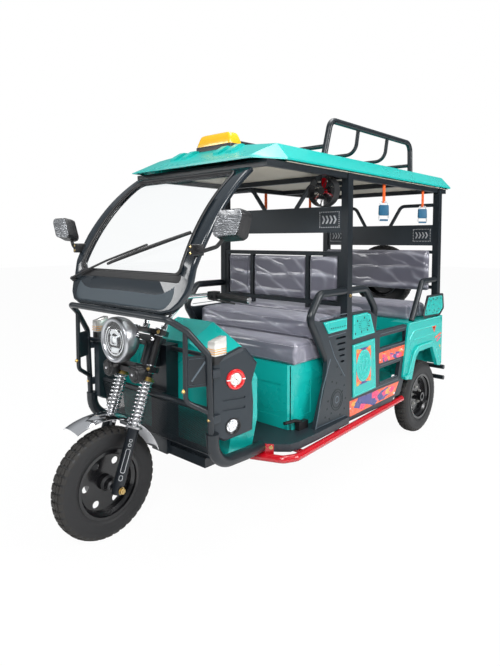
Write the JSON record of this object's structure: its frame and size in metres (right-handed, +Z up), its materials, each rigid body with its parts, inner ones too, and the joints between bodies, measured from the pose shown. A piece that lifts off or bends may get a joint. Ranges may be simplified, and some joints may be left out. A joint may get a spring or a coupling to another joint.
{
  "type": "electric rickshaw",
  "caption": "Three-wheeled electric rickshaw with a canopy roof and rack, a driver's bench, facing passenger benches, a steered sprung front wheel and powered rear wheels.",
  "frame": {"origin": "on the ground, under the middle of the whole vehicle's bounding box", "axes": "+Z up, -Y towards the front wheel, +X towards the vehicle's left side"},
  "size_m": [1.468, 3.044, 2.045],
  "materials": {
    "teal_plastic": "moulded gloss",
    "dark_paint": "satin powder coat",
    "slate_plastic": "satin moulded",
    "grey_plastic": "moulded sheet",
    "tyre": "matte",
    "chrome": "polished",
    "wheel_paint": "satin",
    "clear_glass": "clear",
    "seat_vinyl": "soft vinyl",
    "red_paint": "gloss",
    "horn_red": "gloss",
    "lamp_lens": "gloss lens",
    "amber_lens": "gloss lens",
    "webbing": "woven",
    "black_plastic": "satin",
    "cast_metal": "painted cast",
    "mirror_shell": "gloss",
    "spring_steel": "satin"
  },
  "bodies": {
    "chassis": {"backrest_frame": "dark_paint", "backrest_pads": "seat_vinyl", "battery_pack": "black_plastic", "bench_box": "teal_plastic", "bench_cushions": "seat_vinyl", "body_frame": "dark_paint", "chassis_frame": "dark_paint", "corner_pods": "slate_plastic", "cowl": "teal_plastic", "drive_motor": "cast_metal", "driver_cushions": "seat_vinyl", "driver_seat_box": "teal_plastic", "fan_guard": "black_plastic", "fascias": "slate_plastic", "floor_pan": "slate_plastic", "front_apron": "dark_paint", "front_guard": "dark_paint", "grab_straps": "webbing", "lamps": "lamp_lens", "leaf_springs": "spring_steel", "mirrors": "mirror_shell", "parking_brake": "black_plastic", "rear_axle": "cast_metal", "rear_body": "teal_plastic", "rear_bumper": "dark_paint", "roof_lamp": "amber_lens", "roof_lining": "grey_plastic", "roof_rack": "dark_paint", "roof_shell": "teal_plastic", "side_inserts": "teal_plastic", "side_panels": "slate_plastic", "side_steps": "red_paint", "spare_rim": "wheel_paint", "spare_tyre": "tyre", "windscreen_frame": "slate_plastic", "windscreen_glass": "clear_glass", "wiper": "black_plastic"},
    "steering": {"fork": "dark_paint", "fork_springs": "chrome", "handlebar": "chrome", "headlamp": "chrome", "horns": "black_plastic", "front_fender": "chrome"},
    "front_wheel": {"front_tyre": "tyre", "front_rim": "wheel_paint"},
    "rear_left_wheel": {"rear_left_tyre": "tyre", "rear_left_rim": "wheel_paint"},
    "rear_right_wheel": {"rear_right_tyre": "tyre", "rear_right_rim": "wheel_paint"},
    "fan": {"fan_rotor": "horn_red"}
  },
  "joints": [
    {"name": "steering_turn", "type": "hinge", "parent": "chassis", "child": "steering", "pos_m": [0, -1.22571, 0.23861], "axis": [0, 0.342, 0.9397], "range_deg": [-38, 38]},
    {"name": "front_wheel_spin", "type": "hinge", "parent": "steering", "child": "front_wheel", "pos_m": [0, -1.268, 0.254], "axis": [1, 0, 0], "continuous": true},
    {"name": "rear_left_wheel_spin", "type": "hinge", "parent": "chassis", "child": "rear_left_wheel", "pos_m": [0.444, 1.004, 0.254], "axis": [1, 0, 0], "continuous": true},
    {"name": "rear_right_wheel_spin", "type": "hinge", "parent": "chassis", "child": "rear_right_wheel", "pos_m": [-0.444, 1.004, 0.254], "axis": [1, 0, 0], "continuous": true},
    {"name": "fan_spin", "type": "hinge", "parent": "chassis", "child": "fan", "pos_m": [0.398, -0.128, 1.64], "axis": [0, 1, 0], "continuous": true}
  ]
}
